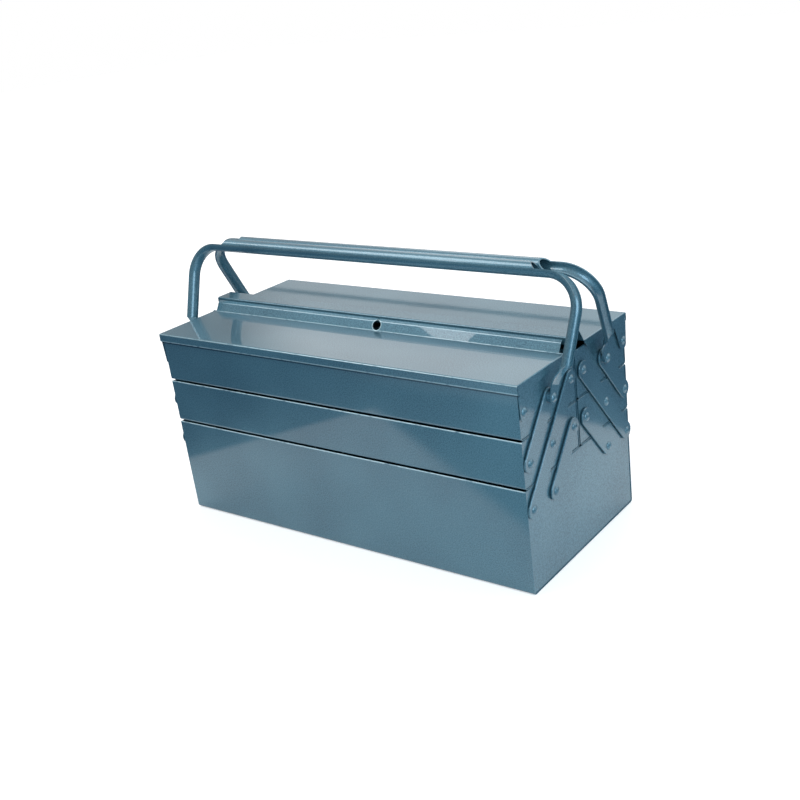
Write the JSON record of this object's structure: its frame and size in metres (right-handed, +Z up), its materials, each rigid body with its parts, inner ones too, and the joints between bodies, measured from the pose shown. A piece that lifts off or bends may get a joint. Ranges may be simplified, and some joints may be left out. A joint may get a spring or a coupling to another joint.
{
  "type": "toolbox",
  "caption": "Folded steel cantilever toolbox: a base box with trays that swing out to front and rear on riveted links, hinged lids and swinging tubular carrying handles.",
  "frame": {"origin": "on the floor under the middle of the box, midway between the end panels and between the front and rear walls", "axes": "+X along the box to its right-hand end, +Y to the rear, +Z up"},
  "size_m": [0.4716, 0.2002, 0.2808],
  "materials": {
    "trays": "glossy blue-grey stove enamel",
    "lids": "glossy blue-grey stove enamel",
    "links": "glossy blue-grey stove enamel",
    "handles": "glossy blue-grey stove enamel",
    "rivets": "glossy blue-grey stove enamel",
    "washers": "glossy blue-grey stove enamel"
  },
  "bodies": {
    "base": {"base_wrap": "trays", "base_end_panel_right": "trays", "base_end_panel_left": "trays", "base_link_rivets": "rivets"},
    "front_long_links": {"front_long_link_right": "links", "front_long_link_left": "links"},
    "front_mid_tray": {"front_mid_tray_wrap": "trays", "front_mid_tray_end_panel_right": "trays", "front_mid_tray_end_panel_left": "trays", "front_mid_tray_link_rivets": "rivets"},
    "front_top_tray": {"front_top_tray_wrap": "trays", "front_top_tray_end_panel_right": "trays", "front_top_tray_end_panel_left": "trays", "front_top_tray_link_rivets": "rivets", "front_handle_rivets": "rivets", "front_handle_washers": "washers", "front_lid_rivets": "rivets"},
    "front_lower_links": {"front_lower_link_right": "links", "front_lower_link_left": "links"},
    "front_upper_links": {"front_upper_link_right": "links", "front_upper_link_left": "links"},
    "front_handle": {"front_handle": "handles"},
    "front_lid": {"front_lid": "lids"},
    "rear_long_links": {"rear_long_link_right": "links", "rear_long_link_left": "links"},
    "rear_mid_tray": {"rear_mid_tray_wrap": "trays", "rear_mid_tray_end_panel_right": "trays", "rear_mid_tray_end_panel_left": "trays", "rear_mid_tray_link_rivets": "rivets"},
    "rear_top_tray": {"rear_top_tray_wrap": "trays", "rear_top_tray_end_panel_right": "trays", "rear_top_tray_end_panel_left": "trays", "rear_top_tray_link_rivets": "rivets", "rear_handle_rivets": "rivets", "rear_handle_washers": "washers", "rear_lid_rivets": "rivets"},
    "rear_lower_links": {"rear_lower_link_right": "links", "rear_lower_link_left": "links"},
    "rear_upper_links": {"rear_upper_link_right": "links", "rear_upper_link_left": "links"},
    "rear_handle": {"rear_handle": "handles"},
    "rear_lid": {"rear_lid": "lids"}
  },
  "joints": [
    {"name": "front_long_links_on_base", "type": "hinge", "parent": "base", "child": "front_long_links", "pos_m": [0, -0.0895, 0.0828], "axis": [1, 0, 0], "range_deg": [0, 79.81]},
    {"name": "front_mid_tray_on_long_links", "type": "hinge", "parent": "front_long_links", "child": "front_mid_tray", "pos_m": [0, -0.0507, 0.1292], "axis": [1, 0, 0], "range_deg": [-79.81, 0]},
    {"name": "front_top_tray_on_long_links", "type": "hinge", "parent": "front_long_links", "child": "front_top_tray", "pos_m": [0, -0.0119, 0.1756], "axis": [1, 0, 0], "range_deg": [-79.81, 0]},
    {"name": "front_lower_links_on_base", "type": "hinge", "parent": "base", "child": "front_lower_links", "pos_m": [0, -0.0507, 0.0828], "axis": [1, 0, 0], "range_deg": [0, 79.81]},
    {"name": "front_upper_links_on_mid_tray", "type": "hinge", "parent": "front_mid_tray", "child": "front_upper_links", "pos_m": [0, -0.0895, 0.1272], "axis": [1, 0, 0], "range_deg": [0, 79.81]},
    {"name": "front_handle_on_top_tray", "type": "hinge", "parent": "front_top_tray", "child": "front_handle", "pos_m": [0, -0.0507, 0.1736], "axis": [1, 0, 0], "range_deg": [0, 150]},
    {"name": "front_lid_on_top_tray", "type": "hinge", "parent": "front_top_tray", "child": "front_lid", "pos_m": [0, -0.092, 0.1762], "axis": [1, 0, 0], "range_deg": [0, 110]},
    {"name": "rear_long_links_on_base", "type": "hinge", "parent": "base", "child": "rear_long_links", "pos_m": [0, 0.0895, 0.0828], "axis": [-1, 0, 0], "range_deg": [0, 79.81]},
    {"name": "rear_mid_tray_on_long_links", "type": "hinge", "parent": "rear_long_links", "child": "rear_mid_tray", "pos_m": [0, 0.0507, 0.1292], "axis": [-1, 0, 0], "range_deg": [-79.81, 0]},
    {"name": "rear_top_tray_on_long_links", "type": "hinge", "parent": "rear_long_links", "child": "rear_top_tray", "pos_m": [0, 0.0119, 0.1756], "axis": [-1, 0, 0], "range_deg": [-79.81, 0]},
    {"name": "rear_lower_links_on_base", "type": "hinge", "parent": "base", "child": "rear_lower_links", "pos_m": [0, 0.0507, 0.0828], "axis": [-1, 0, 0], "range_deg": [0, 79.81]},
    {"name": "rear_upper_links_on_mid_tray", "type": "hinge", "parent": "rear_mid_tray", "child": "rear_upper_links", "pos_m": [0, 0.0895, 0.1272], "axis": [-1, 0, 0], "range_deg": [0, 79.81]},
    {"name": "rear_handle_on_top_tray", "type": "hinge", "parent": "rear_top_tray", "child": "rear_handle", "pos_m": [0, 0.0507, 0.1736], "axis": [-1, 0, 0], "range_deg": [0, 150]},
    {"name": "rear_lid_on_top_tray", "type": "hinge", "parent": "rear_top_tray", "child": "rear_lid", "pos_m": [0, 0.092, 0.1762], "axis": [-1, 0, 0], "range_deg": [0, 110]}
  ],
  "couplings": [
    {"joint": "front_mid_tray_on_long_links", "follows": "front_long_links_on_base", "ratio": -1},
    {"joint": "front_top_tray_on_long_links", "follows": "front_long_links_on_base", "ratio": -1},
    {"joint": "front_lower_links_on_base", "follows": "front_long_links_on_base", "ratio": 1},
    {"joint": "front_upper_links_on_mid_tray", "follows": "front_long_links_on_base", "ratio": 1},
    {"joint": "rear_mid_tray_on_long_links", "follows": "rear_long_links_on_base", "ratio": -1},
    {"joint": "rear_top_tray_on_long_links", "follows": "rear_long_links_on_base", "ratio": -1},
    {"joint": "rear_lower_links_on_base", "follows": "rear_long_links_on_base", "ratio": 1},
    {"joint": "rear_upper_links_on_mid_tray", "follows": "rear_long_links_on_base", "ratio": 1}
  ]
}
